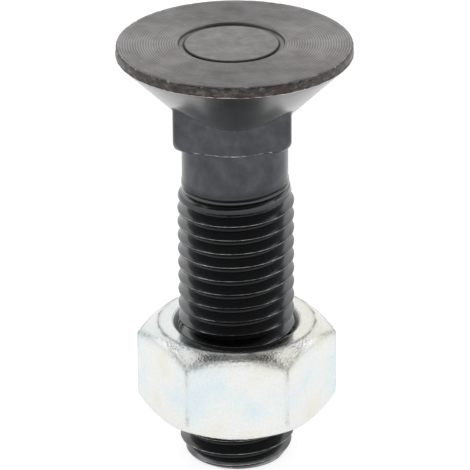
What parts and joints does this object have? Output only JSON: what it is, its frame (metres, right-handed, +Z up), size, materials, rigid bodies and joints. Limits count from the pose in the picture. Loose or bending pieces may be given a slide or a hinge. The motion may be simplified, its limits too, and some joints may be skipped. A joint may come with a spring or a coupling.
{
  "type": "plow bolt",
  "caption": "Flat countersunk plow bolt with a square neck, plain shank and coarse right-hand thread, carrying a hexagon nut that turns on the thread.",
  "frame": {"origin": "centre of the flat at the thread end, on the bolt's axis", "axes": "+Z up the bolt's axis from the thread end to the head, -Y the side seen in the picture"},
  "size_m": [0.0316, 0.0314, 0.06],
  "materials": {
    "black_steel": "blackened, oiled",
    "zinc_steel": "bright zinc plate"
  },
  "bodies": {
    "bolt": {"plow_bolt": "black_steel"},
    "nut": {"hex_nut": "zinc_steel"}
  },
  "joints": [
    {"name": "nut_turn", "type": "hinge", "parent": "bolt", "child": "nut", "pos_m": [0, 0, 0.0131], "axis": [0, 0, 1], "continuous": true}
  ]
}
